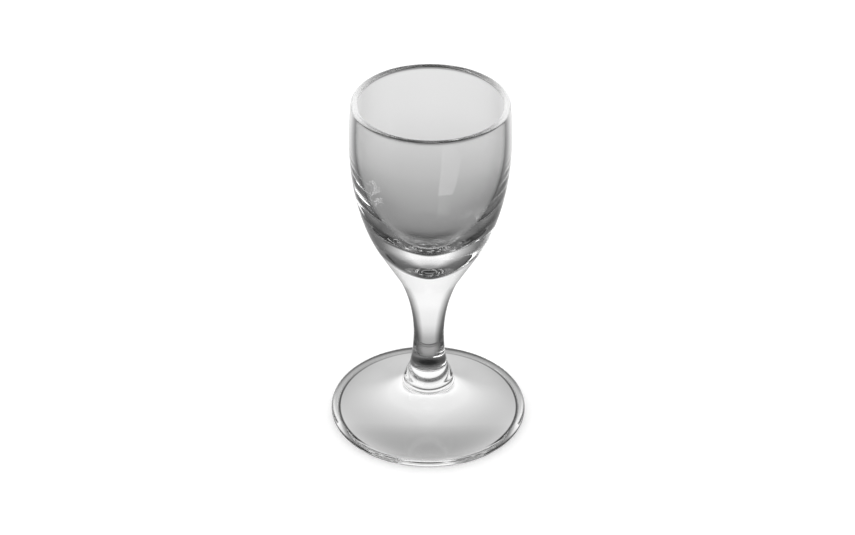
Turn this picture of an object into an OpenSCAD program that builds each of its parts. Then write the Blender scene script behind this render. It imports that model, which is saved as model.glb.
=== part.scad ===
// Cordial glass: a thick-bottomed egg-shaped bowl on a short waisted stem and a domed foot.
// Every piece is one outline turned about the Z axis. The pieces are fused on flat joints.
// Units are millimetres. The origin is the centre of the circle that the glass stands on.

/* [Foot] */
// Diameter of the foot
foot_d = 54.7; // [48:0.1:64]
// Height of the foot where the collar sits on it
foot_h = 10.2; // [8.7:0.1:13]
// Thickness of the foot's rounded edge
foot_edge_t = 2.6; // [2:0.1:3.2]
// Slope of the foot's top just inside its edge, in degrees
foot_edge_slope = 8; // [4:0.5:12]
// Width of the flat ring that the glass stands on
rest_ring_w = 0.5; // [0.3:0.1:1.2]
// Radius of the ring's rounding on its inside, where the hollow begins
ring_round_r = 0.3; // [0.2:0.1:0.8]
// Thickness of the glass between the collar and the crown of the hollow under the foot
foot_crown_t = 4.3; // [3:0.1:6]

/* [Collar] */
// Diameter of the collar between the stem and the foot
collar_d = 14.7; // [13:0.1:18]
// Thickness of the collar
collar_t = 0.8; // [0.5:0.1:1.4]

/* [Stem] */
// Length of the stem between the collar and the bowl
stem_len = 33.9; // [28:0.1:48]
// Diameter of the stem's waist
waist_d = 8.4; // [7:0.1:9.6]
// Height of the waist above the collar
waist_h = 15.8; // [12:0.1:19]
// Diameter of the stem at the top of its foot flare
flare_top_d = 10.1; // [9.8:0.1:11.5]
// Height of the flare at the stem's foot
flare_h = 6.2; // [4:0.1:8]

/* [Bowl] */
// Diameter of the joint between the bowl and the stem
bowl_joint_d = 16; // [13:0.1:19]
// Height of the bowl from the joint to the rim
bowl_h = 55.1; // [49:0.1:66]
// Height of the widest part of the bowl above the joint
belly_h = 43.1; // [38:0.1:46]
// Diameter of the bowl at its widest
belly_d = 42.9; // [40:0.1:50]
// Diameter of the bowl just below its rim
rim_d = 41.8; // [39:0.1:42.4]
// Thickness of the bowl's wall from the widest part up
wall_t = 1.8; // [1.2:0.1:2.6]
// Thickness of the solid glass below the inside of the bowl
floor_t = 6.2; // [4:0.1:14]

/* [Hidden] */
$fn = 144;

// Steps in each curved stretch of an outline
curve_steps = 32;
// Steps in each small rounding
round_steps = 12;

// Where the pieces meet, from the table up
collar_z = foot_h;
stem_z = collar_z + collar_t;
bowl_z = stem_z + stem_len;

// The stem and the foot meet the collar on its flat faces, inside its rounded edge
foot_joint_r = collar_d / 2 - collar_t / 2;

// How far each end of a flare's curve holds its direction, as shares of the flare's height
flare_hold_shares = [0.36, 0.37];
// How far each end of the hollow's curve holds its direction, as shares of the hollow's radius
hollow_hold_shares = [0.32, 0.26];
// How far each end of the curve inside the bowl holds its direction, as shares of its height and its radius
inside_hold_shares = [0.72, 0.16];

// Radius of an arc that starts along its run and leaves it by rise
function arc_radius(run, rise) = (run * run + rise * rise) / (2 * rise);

// Points on a circle or an ellipse about centre, from angle a0 to a1
function arc(centre, radii, a0, a1, steps) =
    [for (i = [0:steps]) let (a = a0 + (a1 - a0) * i / steps)
        centre + [radii.x * cos(a), radii.y * sin(a)]];

// Points on a curve from p0 to p3 that sets out towards p1 and arrives from p2
function curve(p0, p1, p2, p3, steps) =
    [for (i = [0:steps]) let (u = i / steps, v = 1 - u)
        v * v * v * p0 + 3 * v * v * u * p1 + 3 * v * u * u * p2 + u * u * u * p3];

// All points of a list but the first
function tail(points) = [for (i = [1:len(points) - 1]) points[i]];

// Top of the foot: one arc from the rounded edge up to the collar
function foot_top() =
    let (
        edge_r = foot_edge_t / 2,
        start = [foot_d / 2 - edge_r + edge_r * sin(foot_edge_slope), edge_r + edge_r * cos(foot_edge_slope)],
        end_slope = 2 * atan2(foot_h - start.y, start.x - foot_joint_r) - foot_edge_slope,
        arc_r = (start.x - foot_joint_r) / (sin(end_slope) - sin(foot_edge_slope)),
        centre = start + arc_r * [sin(foot_edge_slope), cos(foot_edge_slope)]
    )
    arc(centre, [arc_r, arc_r], -90 - foot_edge_slope, -90 - end_slope, curve_steps);

// Underside of the foot: a bell-shaped hollow from its crown out to the ring it stands on,
// and the rounding that brings the ring down to the table
function foot_hollow() =
    let (
        ring_r = foot_d / 2 - foot_edge_t / 2 - rest_ring_w,
        hollow_r = ring_r - ring_round_r,
        crown_z = foot_h - foot_crown_t,
        rim_hold = hollow_hold_shares[0] * hollow_r,
        crown_hold = hollow_hold_shares[1] * hollow_r
    )
    concat(
        curve([0, crown_z], [crown_hold, crown_z],
            [hollow_r - rim_hold, ring_round_r], [hollow_r, ring_round_r], curve_steps),
        tail(arc([ring_r, ring_round_r], [ring_round_r, ring_round_r], -180, -90, round_steps)));

module foot() {
    edge_r = foot_edge_t / 2;
    edge = arc([foot_d / 2 - edge_r, edge_r], [edge_r, edge_r], -90, 90 - foot_edge_slope, round_steps);
    color([0.86, 0.88, 0.88, 0.5])
        rotate_extrude()
            polygon(concat(foot_hollow(), edge, tail(foot_top()), [[0, foot_h]]));
}

module collar() {
    edge = arc([foot_joint_r, collar_z + collar_t / 2], [collar_t / 2, collar_t / 2], -90, 90, round_steps);
    color([0.78, 0.80, 0.81, 0.5])
        rotate_extrude()
            polygon(concat([[0, collar_z]], edge, [[0, stem_z]]));
}

// The stem narrows through a flare and a long arc to its waist, then opens on one arc to the bowl
module stem() {
    waist_r = waist_d / 2;
    waist_z = stem_z + waist_h;
    flare_z = stem_z + flare_h;
    low_r = arc_radius(waist_h - flare_h, flare_top_d / 2 - waist_r);
    high_r = arc_radius(stem_len - waist_h, bowl_joint_d / 2 - waist_r);
    low_turn = asin((waist_h - flare_h) / low_r);
    high_turn = asin((stem_len - waist_h) / high_r);
    base_hold = flare_hold_shares[0] * flare_h;
    top_hold = flare_hold_shares[1] * flare_h;
    flare = curve([foot_joint_r, stem_z], [foot_joint_r, stem_z + base_hold],
        [flare_top_d / 2 + top_hold * tan(low_turn), flare_z - top_hold],
        [flare_top_d / 2, flare_z], curve_steps);
    low = arc([waist_r + low_r, waist_z], [low_r, low_r], 180 + low_turn, 180, round_steps);
    high = arc([waist_r + high_r, waist_z], [high_r, high_r], 180, 180 - high_turn, curve_steps);
    color([0.90, 0.92, 0.92, 0.5])
        rotate_extrude()
            polygon(concat([[0, stem_z]], flare, tail(low), tail(high), [[0, bowl_z]]));
}

// The bowl's outside is a quarter ellipse with a cone that runs tangent from it to the joint,
// and above the widest part a slow arc draws in to the rounded rim. The inside leaves the wall
// slowly and comes down to a narrow rounded bottom
module bowl() {
    belly_r = belly_d / 2;
    belly_z = bowl_z + belly_h;
    joint_share = bowl_joint_d / belly_d;
    tangent_turn = acos(1 / norm([joint_share, 1])) - atan2(1, joint_share);
    neck_run = bowl_h - belly_h - wall_t / 2;
    neck_r = arc_radius(neck_run, belly_r - rim_d / 2);
    neck_turn = asin(neck_run / (neck_r - wall_t / 2));
    neck_centre = [belly_r - neck_r, belly_z];
    lip_centre = neck_centre + (neck_r - wall_t / 2) * [cos(neck_turn), sin(neck_turn)];
    inside_r = belly_r - wall_t;
    inside_z = bowl_z + floor_t;
    side_hold = inside_hold_shares[0] * (belly_z - inside_z);
    floor_hold = inside_hold_shares[1] * inside_r;
    outside = concat(
        [[bowl_joint_d / 2, bowl_z]],
        arc([0, belly_z], [belly_r, belly_h], tangent_turn, 0, curve_steps),
        tail(arc(neck_centre, [neck_r, neck_r], 0, neck_turn, round_steps)));
    lip = arc(lip_centre, [wall_t / 2, wall_t / 2], neck_turn, 180 + neck_turn, round_steps);
    inside = concat(
        tail(arc(neck_centre, [neck_r - wall_t, neck_r - wall_t], neck_turn, 0, round_steps)),
        tail(curve([inside_r, belly_z], [inside_r, belly_z - side_hold],
            [floor_hold, inside_z], [0, inside_z], curve_steps)));
    color([0.93, 0.95, 0.95, 0.4])
        rotate_extrude()
            polygon(concat([[0, bowl_z]], outside, tail(lip), inside));
}

foot();
collar();
stem();
bowl();
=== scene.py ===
# %% [markdown]
# A cordial glass
#
# This lesson makes the looks of a small stemmed glass: a thick-bottomed bowl with a
# rounded rim, a short waisted stem, a thin collar and a domed foot. The construction is
# loaded first as a fixed frame. Each piece is then modelled again with a much finer
# surface, because clear glass shows every facet as a kink in what it refracts.

# %% Load the construction
import bpy
import math
from mathutils import Matrix, Vector


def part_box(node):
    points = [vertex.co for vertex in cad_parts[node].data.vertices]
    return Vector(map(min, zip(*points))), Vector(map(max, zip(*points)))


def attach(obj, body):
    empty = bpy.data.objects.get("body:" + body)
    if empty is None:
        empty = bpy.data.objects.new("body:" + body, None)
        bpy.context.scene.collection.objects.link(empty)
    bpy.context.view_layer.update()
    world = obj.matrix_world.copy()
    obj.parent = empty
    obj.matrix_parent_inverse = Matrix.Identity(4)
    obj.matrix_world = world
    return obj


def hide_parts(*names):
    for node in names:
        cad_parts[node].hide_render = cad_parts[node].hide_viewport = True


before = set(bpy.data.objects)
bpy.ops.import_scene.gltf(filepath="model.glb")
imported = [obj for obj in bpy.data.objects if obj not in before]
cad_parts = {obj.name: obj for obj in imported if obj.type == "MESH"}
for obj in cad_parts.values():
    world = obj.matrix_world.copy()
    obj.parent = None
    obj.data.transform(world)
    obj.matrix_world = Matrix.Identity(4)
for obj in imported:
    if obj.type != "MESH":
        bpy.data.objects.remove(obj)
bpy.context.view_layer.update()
print("nodes in the frame:", sorted(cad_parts))

# %% [markdown]
# Small helpers
#
# Blender works in metres and a glass is measured in millimetres, so one value turns one
# into the other. Colours are written as hex numbers, as a designer would note them, and
# one function turns those to the linear light that shaders use. One more function adds a
# shader node with its settings and its links, so that each material reads as a short list.

# %% Units, colours and nodes
MM = 0.001


def linear(hex_code):
    """A hex colour such as F4F6F6 as linear red, green, blue and an alpha of 1."""
    channels = [int(hex_code[i:i + 2], 16) / 255 for i in (0, 2, 4)]
    return [c / 12.92 if c <= 0.04045 else ((c + 0.055) / 1.055) ** 2.4 for c in channels] + [1.0]


def add_node(tree, kind, settings=None, links=None):
    """Adds a node. Settings are properties or socket values, links are what feeds a socket."""
    node = tree.nodes.new("ShaderNode" + kind)
    for name, value in (settings or {}).items():
        if isinstance(name, int) or name in node.inputs:
            node.inputs[name].default_value = value
        else:
            setattr(node, name, value)
    for name, source in (links or {}).items():
        tree.links.new(source, node.inputs[name])
    return node


def empty_material(name):
    """A new material whose node tree holds nothing yet."""
    material = bpy.data.materials.new(name)
    material.use_nodes = True
    material.node_tree.nodes.clear()
    return material, material.node_tree


def deselect_all():
    """Leaves nothing selected, because an operator acts on all that is selected."""
    bpy.ops.object.select_all(action="DESELECT")


# %% [markdown]
# Sizes
#
# What the frame can tell is read from it: the radius and height of each piece, and the
# heights where the pieces meet. The rest are the sizes that a glass maker would set. All
# are in millimetres, and the one angle is in degrees.

# %% Sizes from the frame
foot_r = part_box("foot")[1].x / MM
foot_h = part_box("foot")[1].z / MM
collar_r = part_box("collar")[1].x / MM
stem_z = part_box("stem")[0].z / MM
bowl_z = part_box("bowl")[0].z / MM
bowl_joint_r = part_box("stem")[1].x / MM
belly_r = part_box("bowl")[1].x / MM
rim_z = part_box("bowl")[1].z / MM
collar_t = stem_z - foot_h
foot_joint_r = collar_r - collar_t / 2
print(f"foot {2 * foot_r:.1f} mm across, bowl {2 * belly_r:.1f} mm, height {rim_z:.1f} mm")

# %% Sizes of the glass maker
foot_edge_t = 2.6  # thickness of the foot's rounded edge
foot_edge_slope = 8.0  # slope of the foot's top beside that edge
rest_ring_w = 0.5  # width of the ring that the foot stands on
ring_round_r = 0.3  # rounding on the inside of that ring
foot_crown_t = 4.3  # glass between the collar and the crown of the hollow
waist_r = 4.2  # radius of the stem's waist
waist_h = 15.8  # height of the waist above the collar
flare_r = 5.05  # radius of the stem at the top of its flare
flare_h = 6.2  # height of the flare above the collar
belly_h = 43.1  # height of the bowl's widest part above its joint
rim_r = 20.9  # radius of the bowl just below its rim
wall_t = 1.8  # thickness of the bowl's wall
floor_t = 6.2  # glass under the inside of the bowl
print(f"wall {wall_t} mm, glass under the bowl {floor_t} mm, under the collar {foot_crown_t} mm")

# %% [markdown]
# Curves for an outline
#
# Every piece of a stemmed glass is round about one axis, so a piece is known from the
# outline of half a slice through it. The stretches of such an outline are arcs of circles
# and ellipses, and curves that leave and arrive in a chosen direction. The first two
# functions here give points (radius, height), and the third gives an arc its radius.

# %% Arcs and curves
CURVE_STEPS = 56
ROUND_STEPS = 20


def arc(centre, radii, start, end, steps):
    """Points on an ellipse about centre, from one angle in degrees to another."""
    angles = [math.radians(start + (end - start) * i / steps) for i in range(steps + 1)]
    return [(centre[0] + radii[0] * math.cos(a), centre[1] + radii[1] * math.sin(a))
            for a in angles]


def curve(p0, p1, p2, p3, steps):
    """Points on a curve that leaves p0 towards p1 and comes to p3 from p2."""
    points = []
    for i in range(steps + 1):
        u = i / steps
        v = 1 - u
        weights = (v ** 3, 3 * v * v * u, 3 * v * u * u, u ** 3)
        points.append(tuple(sum(w * p[k] for w, p in zip(weights, (p0, p1, p2, p3)))
                            for k in (0, 1)))
    return points


def arc_radius(run, rise):
    """Radius of an arc that starts along its run and leaves it by rise."""
    return (run * run + rise * rise) / (2 * rise)


# %% [markdown]
# Turning an outline into a piece
#
# By hand, a glass is drawn as one vertex that is extruded again and again along the
# outline, and then spun about the axis. The same operators do it here. The spin leaves
# many vertices on the axis at each pole, so these are merged, and the normals are
# recalculated to point out of the glass. Turns sharper than 35 degrees, as beside a flat
# joint and where the foot's hollow meets its ring, stay sharp. All else is shaded smooth.

# %% Draw and spin
SPIN_STEPS = 240
MERGE_GAP_M = 1e-7
SHARP_EDGE = math.radians(35)


def draw_outline(name, points):
    """A new mesh with one edge chain through the points, in the plane y = 0."""
    deselect_all()
    bpy.ops.mesh.primitive_plane_add(size=MM, location=(0, 0, 0))
    piece = bpy.context.object
    piece.name = name
    bpy.ops.object.mode_set(mode="EDIT")
    bpy.ops.mesh.select_all(action="SELECT")
    bpy.ops.mesh.merge(type="CENTER")
    here = Vector((points[0][0], 0, points[0][1])) * MM
    bpy.ops.transform.translate(value=here)
    for r, z in points[1:]:
        there = Vector((r, 0, z)) * MM
        bpy.ops.mesh.extrude_region_move(TRANSFORM_OT_translate={"value": there - here})
        here = there
    return piece


def spin_piece(name, points):
    """A closed piece of glass, turned from an outline that starts and ends on the axis."""
    piece = draw_outline(name, points)
    bpy.ops.mesh.select_all(action="SELECT")
    bpy.ops.mesh.spin(steps=SPIN_STEPS, angle=2 * math.pi, center=(0, 0, 0), axis=(0, 0, 1))
    bpy.ops.mesh.select_all(action="SELECT")
    bpy.ops.mesh.remove_doubles(threshold=MERGE_GAP_M)
    bpy.ops.mesh.normals_make_consistent(inside=False)
    bpy.ops.object.mode_set(mode="OBJECT")
    bpy.ops.object.shade_smooth_by_angle(angle=SHARP_EDGE)
    print(f"{name}: {len(piece.data.polygons)} faces")
    return piece


# %% [markdown]
# The glass
#
# The real material is soda-lime glass, blown or pressed and then fire-polished, so its
# skin is as smooth as a liquid's. Its refractive index is about 1.52. What the eye sees is
# almost only what the glass bends and reflects. Hot glass never cools to a perfect
# surface, so a very shallow swell a thumb wide and a still finer ripple tilt it by less
# than a tenth of a degree, and the finest reflections waver a little.

# %% Clear glass
GLASS_COLOUR = "FDFDFD"
GLASS_IOR = 1.52
SWELL_MM = 14.0
SWELL_DEPTH_MM = 0.01
RIPPLE_MM = 3.5
RIPPLE_DEPTH_MM = 0.0003


def clear_glass():
    """Fire-polished soda-lime glass: colourless and bright, with a liquid, slightly wavy skin."""
    material, tree = empty_material("fire_polished_soda_lime_glass")
    place = add_node(tree, "TexCoord").outputs["Object"]
    swell = add_node(tree, "TexNoise", {"Scale": 1 / (SWELL_MM * MM), "Detail": 0.0},
                     {"Vector": place})
    ripple = add_node(tree, "TexNoise", {"Scale": 1 / (RIPPLE_MM * MM), "Detail": 1.0},
                      {"Vector": place})
    waves = add_node(tree, "Bump", {"Strength": 1.0, "Distance": SWELL_DEPTH_MM * MM},
                     {"Height": swell.outputs["Fac"]})
    skin = add_node(tree, "Bump", {"Strength": 1.0, "Distance": RIPPLE_DEPTH_MM * MM},
                    {"Height": ripple.outputs["Fac"], "Normal": waves.outputs["Normal"]})
    shader = add_node(tree, "BsdfPrincipled",
                      {"Base Color": linear(GLASS_COLOUR), "Roughness": 0.0, "IOR": GLASS_IOR,
                       "Transmission Weight": 1.0}, {"Normal": skin.outputs["Normal"]})
    add_node(tree, "OutputMaterial", links={"Surface": shader.outputs["BSDF"]})
    return material


glass = clear_glass()
print(glass.name, "bends light by an index of", GLASS_IOR)

# %% [markdown]
# Fused joints
#
# The pieces of a stemmed glass are joined while they glow, and the glass runs together:
# light crosses the joint as if it weren't there. Two closed meshes that touch would show
# a mirror there instead. So the flat face of a joint gets a clear material that does
# nothing to light, and the pieces refract as one.

# %% The joint material
# A flat face's normal points straight up or down, which is 1 or -1
FLAT_FACE = 0.999
JOINT_REACH_MM = 0.01


def fused_joint():
    """Glass run into glass: the surface between them bends and reflects nothing."""
    material, tree = empty_material("fused_glass_joint")
    clear = add_node(tree, "BsdfTransparent", {"Color": (1, 1, 1, 1)})
    add_node(tree, "OutputMaterial", links={"Surface": clear.outputs["BSDF"]})
    return material


joint = fused_joint()


def finish_glass(piece, node, joint_heights):
    """Gives a piece its glass, clears its joint faces, and puts it in a node's place."""
    piece.data.materials.append(glass)
    piece.data.materials.append(joint)
    joints = 0
    for face in piece.data.polygons:
        flat = abs(face.normal.z) > FLAT_FACE
        at_joint = any(abs(face.center.z / MM - z) < JOINT_REACH_MM for z in joint_heights)
        if flat and at_joint:
            face.material_index = 1
            joints += 1
    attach(piece, "root")
    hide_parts(node)
    print(f"{piece.name}: {joints} faces fused")


# %% [markdown]
# The foot
#
# The foot is spun flat while it is hot and keeps a thick rounded edge. Its top rises to
# the collar on one arc, and its underside is a bell-shaped hollow, so that the glass
# stands on a narrow ring and doesn't rock. The hollow is a lens: it throws the bright
# background up round the collar and leaves the outer part of the foot grey. The corner
# and the small rounding between the hollow and the ring, with a painted contact shadow
# on the table below them, draw the thin dark line inside the foot's edge.

# %% Outline of the foot
# How far each end of the hollow's curve holds its direction, as shares of its radius
HOLLOW_RIM_HOLD = 0.32
HOLLOW_CROWN_HOLD = 0.26


def foot_outline():
    """Half a slice through the foot: hollow, standing ring, edge, and top up to the collar."""
    edge_r = foot_edge_t / 2
    slope = math.radians(foot_edge_slope)
    ring_r = foot_r - edge_r - rest_ring_w
    hollow_r = ring_r - ring_round_r
    crown_z = foot_h - foot_crown_t
    hollow = curve((0, crown_z), (HOLLOW_CROWN_HOLD * hollow_r, crown_z),
                   (hollow_r - HOLLOW_RIM_HOLD * hollow_r, ring_round_r),
                   (hollow_r, ring_round_r), CURVE_STEPS)
    hollow += arc((ring_r, ring_round_r), (ring_round_r, ring_round_r), -180, -90, ROUND_STEPS)[1:]
    edge = arc((foot_r - edge_r, edge_r), (edge_r, edge_r), -90, 90 - foot_edge_slope, ROUND_STEPS)
    start_r, start_z = edge[-1]
    end_slope = 2 * math.atan2(foot_h - start_z, start_r - foot_joint_r) - slope
    arc_r = (start_r - foot_joint_r) / (math.sin(end_slope) - math.sin(slope))
    centre = (start_r + arc_r * math.sin(slope), start_z + arc_r * math.cos(slope))
    top = arc(centre, (arc_r, arc_r), -90 - foot_edge_slope, -90 - math.degrees(end_slope),
              CURVE_STEPS)
    return hollow + edge + top[1:] + [(0, foot_h)]


foot = spin_piece("glass_foot", foot_outline())
finish_glass(foot, "foot", [foot_h])

# %% [markdown]
# The collar
#
# A thin ring of glass lies between stem and foot, where the foot's gather was dropped on.
# Its edge is round, and it stands a hair proud of both, which draws the fine double line
# at the stem's base.

# %% Outline of the collar
def collar_outline():
    """Half a slice through the collar: a flat disc with a half-round edge."""
    half = collar_t / 2
    edge = arc((foot_joint_r, foot_h + half), (half, half), -90, 90, ROUND_STEPS)
    return [(0, foot_h)] + edge + [(0, stem_z)]


collar = spin_piece("glass_collar", collar_outline())
finish_glass(collar, "collar", [foot_h, stem_z])

# %% [markdown]
# The stem
#
# The stem is drawn out of the bowl's bottom while it is soft, so it is thinnest at a waist
# and opens at both ends: on one long arc to the bowl, and through a short flare to the
# collar.

# %% Outline of the stem
# How far each end of the flare's curve holds its direction, as shares of its height
FLARE_BASE_HOLD = 0.36
FLARE_TOP_HOLD = 0.37


def stem_outline():
    """Half a slice through the stem: flare, arc down to the waist, arc out to the bowl."""
    length = bowl_z - stem_z
    waist_z = stem_z + waist_h
    flare_z = stem_z + flare_h
    low_r = arc_radius(waist_h - flare_h, flare_r - waist_r)
    high_r = arc_radius(length - waist_h, bowl_joint_r - waist_r)
    low_turn = math.asin((waist_h - flare_h) / low_r)
    high_turn = math.degrees(math.asin((length - waist_h) / high_r))
    base_hold = FLARE_BASE_HOLD * flare_h
    top_hold = FLARE_TOP_HOLD * flare_h
    flare = curve((foot_joint_r, stem_z), (foot_joint_r, stem_z + base_hold),
                  (flare_r + top_hold * math.tan(low_turn), flare_z - top_hold),
                  (flare_r, flare_z), CURVE_STEPS)
    low = arc((waist_r + low_r, waist_z), (low_r, low_r), 180 + math.degrees(low_turn), 180,
              ROUND_STEPS)
    high = arc((waist_r + high_r, waist_z), (high_r, high_r), 180, 180 - high_turn, CURVE_STEPS)
    return [(0, stem_z)] + flare + low[1:] + high[1:] + [(0, bowl_z)]


stem = spin_piece("glass_stem", stem_outline())
finish_glass(stem, "stem", [stem_z, bowl_z])

# %% [markdown]
# The bowl
#
# The outside of the bowl is a quarter of an ellipse with a cone running into it from the
# stem, and above the widest part it draws in a little to the rim. The inside leaves the
# wall slowly and comes down to a narrow rounded bottom. The glass left under it is a
# lens that gathers one white and one dark band. The rim is melted to a half round.

# %% Outline of the bowl
# How far the inside's curve holds its direction, as shares of its height and its radius
INSIDE_SIDE_HOLD = 0.72
INSIDE_FLOOR_HOLD = 0.16


def bowl_outline():
    """Half a slice through the bowl: outside from joint to rim, half-round lip, and inside."""
    belly_z = bowl_z + belly_h
    share = bowl_joint_r / belly_r
    tangent = math.degrees(math.acos(1 / math.hypot(share, 1)) - math.atan2(1, share))
    neck_run = rim_z - belly_z - wall_t / 2
    neck_r = arc_radius(neck_run, belly_r - rim_r)
    turn = math.degrees(math.asin(neck_run / (neck_r - wall_t / 2)))
    neck = (belly_r - neck_r, belly_z)
    lip_r = neck_r - wall_t / 2
    lip_centre = (neck[0] + lip_r * math.cos(math.radians(turn)),
                  neck[1] + lip_r * math.sin(math.radians(turn)))
    inside_r = belly_r - wall_t
    inside_z = bowl_z + floor_t
    outside = arc((0, belly_z), (belly_r, belly_h), tangent, 0, CURVE_STEPS)
    outside += arc(neck, (neck_r, neck_r), 0, turn, ROUND_STEPS)[1:]
    lip = arc(lip_centre, (wall_t / 2, wall_t / 2), turn, 180 + turn, ROUND_STEPS)
    inside = arc(neck, (neck_r - wall_t, neck_r - wall_t), turn, 0, ROUND_STEPS)
    inside += curve((inside_r, belly_z),
                    (inside_r, belly_z - INSIDE_SIDE_HOLD * (belly_z - inside_z)),
                    (INSIDE_FLOOR_HOLD * inside_r, inside_z), (0, inside_z), CURVE_STEPS)[1:]
    return [(0, bowl_z), (bowl_joint_r, bowl_z)] + outside + lip[1:] + inside[1:]


bowl = spin_piece("glass_bowl", bowl_outline())
finish_glass(bowl, "bowl", [bowl_z])

# %% [markdown]
# What the glass shows of the table
#
# Glassware is photographed on a sheet that light comes through. So to rays that the glass
# has bent or mirrored the table is a clear sheet, and they go on to the background below
# and behind. Three things that a real table shows are painted onto that sheet as light
# and shade. At the front a painted shadow of the foot dims it. Under the inside of the
# standing ring a thin painted contact shadow darkens it. And at the rear of the foot,
# where one looks straight through its top and underside, a faint painted glow stands in
# for the white table.

# %% Painted shadow, contact shadow and glow
# Places are in millimetres, with the camera's side below 0 in depth and the back above 0
SHADE_REACH_MM = 30.0
# Painted light and shade on the clear sheet: the foot's shadow at the front, a contact shadow under
# the standing ring, and a glow at the rear of the foot
SHADE_BY_DEPTH = [(-25, 0.62), (-20, 0.76), (-13, 0.84), (-8, 1.0)]
CONTACT_SHADOW_BY_RADIUS = [(24.4, 1.0), (24.6, 0.0), (25.0, 0.0), (25.2, 1.0)]
PAINTED_GLOW_BY_DEPTH = [(10, 0.0), (16, 0.08), (23, 0.2)]
FOOT_FADE_MM = (25.0, 26.0)
# A ray straight through the foot has crossed two surfaces, and one by way of the bowl or
# the stem has crossed more
STRAIGHT_THROUGH = 2.5
# A Mix node has several sockets of one name, so these are given by their number
MIX_FACTOR = 0
NUMBER_A, NUMBER_B = 2, 3
COLOUR_A, COLOUR_B, MIXED_COLOUR = 6, 7, 2


def greys_along(tree, value, low, high, stops, white=1.0):
    """Greys along a value, from a list of (value, grey). A grey is a share of white."""
    along = add_node(tree, "MapRange", {"From Min": low, "From Max": high}, {"Value": value})
    ramp = add_node(tree, "ValToRGB", links={"Fac": along.outputs["Result"]})
    marks = ramp.color_ramp.elements
    places = [(place - low) / (high - low) for place, grey in stops]
    marks.remove(marks[1])
    marks[0].position = places[0]
    for place in places[1:]:
        marks.new(place)
    for mark, (place, grey) in zip(marks, stops):
        mark.color = [grey / white] * 3 + [1]
    return ramp.outputs["Color"]


def under_the_foot(tree):
    """A clear sheet with the foot's painted shadow, a painted contact shadow under the ring and a
    painted glow at the rear.
    """
    place = add_node(tree, "TexCoord").outputs["Object"]
    in_mm = add_node(tree, "VectorMath", {"operation": "SCALE", "Scale": 1 / MM}, {0: place})
    depth = add_node(tree, "SeparateXYZ", links={0: in_mm.outputs[0]}).outputs["Y"]
    length = add_node(tree, "VectorMath", {"operation": "LENGTH"}, {0: in_mm.outputs[0]})
    radius = length.outputs["Value"]
    # painted shadow of the foot, darker towards the camera
    shade = greys_along(tree, depth, -SHADE_REACH_MM, SHADE_REACH_MM, SHADE_BY_DEPTH)
    # painted contact shadow: a thin dark ring under the inside of the standing ring
    painted_contact_shadow = greys_along(tree, radius, 0, SHADE_REACH_MM, CONTACT_SHADOW_BY_RADIUS)
    inside = add_node(tree, "MapRange",
                      {"From Min": FOOT_FADE_MM[0], "From Max": FOOT_FADE_MM[1],
                       "To Min": 1.0, "To Max": 0.0}, {"Value": radius}).outputs["Result"]
    near = add_node(tree, "Mix", {"data_type": "RGBA", COLOUR_A: (1, 1, 1, 1)},
                    {MIX_FACTOR: inside, COLOUR_B: shade})
    # painted shade: the foot's shadow times the contact shadow, as the colour of the clear sheet
    painted_shade = add_node(tree, "Mix", {"data_type": "RGBA", "blend_type": "MULTIPLY", MIX_FACTOR: 1.0},
                    {COLOUR_A: near.outputs[MIXED_COLOUR], COLOUR_B: painted_contact_shadow})
    clear = add_node(tree, "BsdfTransparent", links={"Color": painted_shade.outputs[MIXED_COLOUR]})
    # painted glow at the rear of the foot, standing in for the lit white table
    painted_glow_colour = greys_along(tree, depth, -SHADE_REACH_MM, SHADE_REACH_MM, PAINTED_GLOW_BY_DEPTH)
    crossed = add_node(tree, "LightPath").outputs["Transmission Depth"]
    straight = add_node(tree, "Math", {"operation": "LESS_THAN", 1: STRAIGHT_THROUGH}, {0: crossed})
    there = add_node(tree, "Math", {"operation": "MULTIPLY"}, {0: straight.outputs[0], 1: inside})
    # the painted glow is an emission, only for rays straight through the foot inside the ring
    glow = add_node(tree, "Emission", links={"Color": painted_glow_colour, "Strength": there.outputs[0]})
    return add_node(tree, "AddShader", links={0: clear.outputs[0], 1: glow.outputs[0]})


# %% [markdown]
# The table
#
# The glass stands on a white laminate table. It is matt, so it takes a soft shadow and
# mirrors nothing. Part of its brightness is a glow that only the camera sees, so that it
# comes out white without more light on the glass. It lies a hair below the glass, because
# real glass touches a table only at a few points, and the air between is what lets light
# out of the foot.

# %% White table
TABLE_SIZE_M = 6.0
TABLE_GAP_MM = 0.05
TABLE_COLOUR = "E8E8E8"
TABLE_ROUGHNESS = 0.8
TABLE_GLOW = 0.31


def from_glass(tree, path):
    """1 for a ray that the glass has bent or mirrored, and 0 for any other."""
    either = add_node(tree, "Math", {"operation": "MAXIMUM"},
                      {0: path.outputs["Is Glossy Ray"], 1: path.outputs["Is Transmission Ray"]})
    return either.outputs[0]


def table_material():
    """Matt white laminate to the camera, a clear sheet with painted shade and glow to rays that the
    glass sends on.
    """
    material, tree = empty_material("white_laminate")
    path = add_node(tree, "LightPath")
    glow = add_node(tree, "Math", {"operation": "MULTIPLY", 1: TABLE_GLOW},
                    {0: path.outputs["Is Camera Ray"]})
    top = add_node(tree, "BsdfPrincipled",
                   {"Base Color": linear(TABLE_COLOUR), "Roughness": TABLE_ROUGHNESS,
                    "Specular IOR Level": 0.0, "Emission Color": (1, 1, 1, 1)},
                   {"Emission Strength": glow.outputs[0]})
    seen = under_the_foot(tree)
    mixed = add_node(tree, "MixShader",
                     links={0: from_glass(tree, path), 1: top.outputs[0], 2: seen.outputs[0]})
    add_node(tree, "OutputMaterial", links={"Surface": mixed.outputs[0]})
    return material


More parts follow.
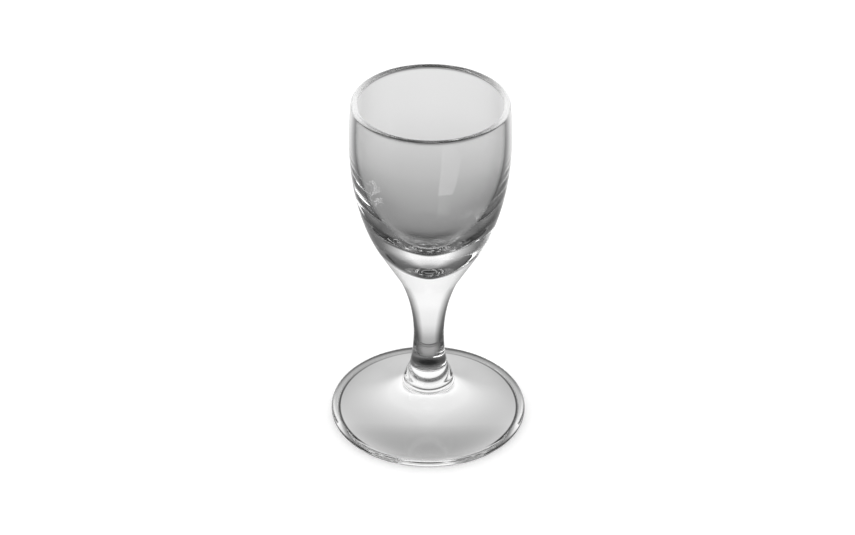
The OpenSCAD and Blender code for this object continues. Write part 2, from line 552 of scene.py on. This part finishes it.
deselect_all()
bpy.ops.mesh.primitive_plane_add(size=TABLE_SIZE_M, location=(0, 0, -TABLE_GAP_MM * MM))
table = bpy.context.object
table.name = "table"
table.data.materials.append(table_material())
print(f"table: {TABLE_SIZE_M} m wide, {TABLE_GAP_MM} mm below the glass")

# %% [markdown]
# The bright field behind
#
# Glass has no colour of its own, so its look is set by what stands round it. Here it is
# lit as glassware is in a studio, by a bright field behind it. Overhead and below it is
# nearly dark, and at the sides and round the camera it is dim. Straight through the glass
# one sees white, and where the glass bends the view further down or round to the camera's
# side it turns grey and then black: that draws every edge and band. The field is a
# function of direction alone. One ramp gives its brightness by the angle above or below
# the horizon, and a second one dims it from behind the glass round to the camera. Low
# down the field is narrow and high up it is wide, so the angle to the side is stretched
# below and squeezed above before the second ramp reads it.

# %% Brightness by direction
# Angles are in degrees, up from the horizon and round from straight behind the glass
BY_HEIGHT = [(-66, 0.03), (-60, 0.11), (-55, 0.24), (-51, 0.31), (-42, 0.38),
             (-37, 0.51), (-33, 0.71), (-28, 0.89), (-20, 0.98), (-14, 1.08),
             (24, 1.12), (34, 0.8), (45, 0.42), (58, 0.14), (75, 0.05)]
BY_SIDE = [(0, 1.0), (28, 1.0), (45, 0.55), (65, 0.2), (90, 0.13), (112, 0.16), (140, 0.24)]
# Heights in degrees, and how much the angle to the side is stretched there
NARROW_BELOW = (-35, 1.5)
WIDE_ABOVE = (40, 0.6)
TOP_LEVEL = 2.0
RADIAN = math.degrees(1)


def field_behind(tree, look):
    """How bright the glass sees the studio in a direction."""
    rise = add_node(tree, "Math", {"operation": "ARCSINE"}, {0: look.outputs["Z"]})
    in_degrees = add_node(tree, "Math", {"operation": "MULTIPLY", 1: RADIAN}, {0: rise.outputs[0]})
    height = in_degrees.outputs[0]
    across = add_node(tree, "Math", {"operation": "ABSOLUTE"}, {0: look.outputs["X"]})
    turn = add_node(tree, "Math", {"operation": "ARCTAN2"},
                    {0: across.outputs[0], 1: look.outputs["Y"]})
    stretch = add_node(tree, "MapRange",
                       {"From Min": NARROW_BELOW[0], "From Max": WIDE_ABOVE[0],
                        "To Min": NARROW_BELOW[1] * RADIAN, "To Max": WIDE_ABOVE[1] * RADIAN},
                       {"Value": height})
    side = add_node(tree, "Math", {"operation": "MULTIPLY"},
                    {0: turn.outputs[0], 1: stretch.outputs["Result"]})
    by_height = greys_along(tree, height, -90, 90, BY_HEIGHT, TOP_LEVEL)
    by_side = greys_along(tree, side.outputs[0], 0, 180, BY_SIDE, TOP_LEVEL)
    both = add_node(tree, "Math", {"operation": "MULTIPLY"}, {0: by_height, 1: by_side})
    level = add_node(tree, "Math", {"operation": "MULTIPLY", 1: TOP_LEVEL * TOP_LEVEL},
                     {0: both.outputs[0]})
    return level.outputs[0]


# %% [markdown]
# The room
#
# Only what the glass bends or mirrors comes from that field. The table is lit by a plain
# pale room, a little brighter at the back than at the front, so that the glass's soft
# shadow falls towards the camera. The camera itself sees plain white round the table.

# %% World
ROOM_LEVEL = 1.0
ROOM_LEAN = 0.8
WHITE_LEVEL = 1.0

world = bpy.data.worlds.new("studio")
bpy.context.scene.world = world
world.use_nodes = True
sky = world.node_tree
sky.nodes.clear()
look = add_node(sky, "SeparateXYZ", links={0: add_node(sky, "TexCoord").outputs["Generated"]})
path = add_node(sky, "LightPath")
room = add_node(sky, "Math", {"operation": "MULTIPLY_ADD", 1: ROOM_LEAN, 2: ROOM_LEVEL},
                {0: look.outputs["Y"]})
plain = add_node(sky, "Mix", {NUMBER_B: WHITE_LEVEL},
                 {MIX_FACTOR: path.outputs["Is Camera Ray"], NUMBER_A: room.outputs[0]})
shown = add_node(sky, "Mix", links={MIX_FACTOR: from_glass(sky, path), NUMBER_A: plain.outputs[0],
                                    NUMBER_B: field_behind(sky, look)})
light = add_node(sky, "Background", {"Color": (1, 1, 1, 1)}, {"Strength": shown.outputs[0]})
add_node(sky, "OutputWorld", links={"Surface": light.outputs[0]})
print("world:", len(sky.nodes), "nodes")

# %% [markdown]
# The window
#
# A broad flat window stands behind the camera, to its left. The inside of the bowl's back
# wall mirrors it as a pale upright patch, seen through the front wall, and the thicker
# glass draws it again as the small bright marks at the left of the bowl and as fine
# strokes on the right and on the stem. The window reaches below the height of the table
# and fades towards its foot, as the patch does. A lamp shines away from its own upward
# axis, so that axis is turned from the glass.

# %% Soft light
WINDOW_PLACE_M = Vector((-1.2, -1.4, 0.27))
WINDOW_SIZE_M = (1.4, 1.14)
WINDOW_LEVEL = 2.9
WINDOW_FOOT_SHARE = 0.1
FROM_THE_GLASS = Vector((0, -1, 0))

bpy.ops.object.light_add(type="AREA", location=WINDOW_PLACE_M)
window = bpy.context.object
window.name = "window"
window.data.shape = "RECTANGLE"
window.data.size, window.data.size_y = WINDOW_SIZE_M
window.data.energy = WINDOW_LEVEL * math.pi * WINDOW_SIZE_M[0] * WINDOW_SIZE_M[1]
window.rotation_euler = FROM_THE_GLASS.to_track_quat("Z", "Y").to_euler()
window.data.use_nodes = True
panes = window.data.node_tree
panes.nodes.clear()
on_pane = add_node(panes, "NewGeometry").outputs["Parametric"]
spot = add_node(panes, "SeparateXYZ", links={0: on_pane})
fade = add_node(panes, "MapRange", {"To Min": WINDOW_FOOT_SHARE, "To Max": 1.0},
                {"Value": spot.outputs["Y"]})
shine = add_node(panes, "Emission", links={"Strength": fade.outputs["Result"]})
add_node(panes, "OutputLight", links={"Surface": shine.outputs[0]})
print(f"window: {window.data.energy:.1f} W over {WINDOW_SIZE_M[0]} by {WINDOW_SIZE_M[1]} m")

# %% [markdown]
# Light paths
#
# Light that enters the rim runs down inside the wall, mirrored from side to side dozens of
# times before it leaves. Where rays are cut short the rim turns black instead of white, so
# the scene allows many bounces. The renderer also blurs glass for light that comes off a
# matt surface, which makes less noise but darkens the table under the foot, so it is off.

# %% Bounces
LIGHT_BOUNCES = 128

scene = bpy.context.scene
scene.cycles.blur_glossy = 0.0
scene.cycles.max_bounces = LIGHT_BOUNCES
scene.cycles.glossy_bounces = LIGHT_BOUNCES
scene.cycles.transmission_bounces = LIGHT_BOUNCES
scene.cycles.transparent_max_bounces = LIGHT_BOUNCES
scene.view_settings.view_transform = "Standard"
print("bounces:", LIGHT_BOUNCES)

# %% [markdown]
# The camera
#
# The camera looks down on the glass at about 34 degrees through a long lens, from 64
# centimetres away, and is turned by half a degree about its own axis.

# %% Camera
CAMERA_LENS_MM = 99.03
CAMERA_SENSOR_MM = 36
CAMERA_DISTANCE_MM = 640
CAMERA_ELEVATION = math.radians(33.84)
CAMERA_ROLL = math.radians(0.46)
CAMERA_AIM_MM = Vector((-0.5, 0, 48.1))
NEAREST_SEEN_M = 0.01

camera_data = bpy.data.cameras.new("camera")
camera = bpy.data.objects.new("camera", camera_data)
scene.collection.objects.link(camera)
camera_data.sensor_width = CAMERA_SENSOR_MM
camera_data.lens = CAMERA_LENS_MM
camera_data.clip_start = NEAREST_SEEN_M
backwards = Vector((0, -math.cos(CAMERA_ELEVATION), math.sin(CAMERA_ELEVATION)))
turned = backwards.to_track_quat("Z", "Y").to_matrix() @ Matrix.Rotation(CAMERA_ROLL, 3, "Z")
camera.rotation_euler = turned.to_euler()
camera.location = (CAMERA_AIM_MM + CAMERA_DISTANCE_MM * backwards) * MM
scene.camera = camera
print("camera at", [round(c, 3) for c in camera.location])
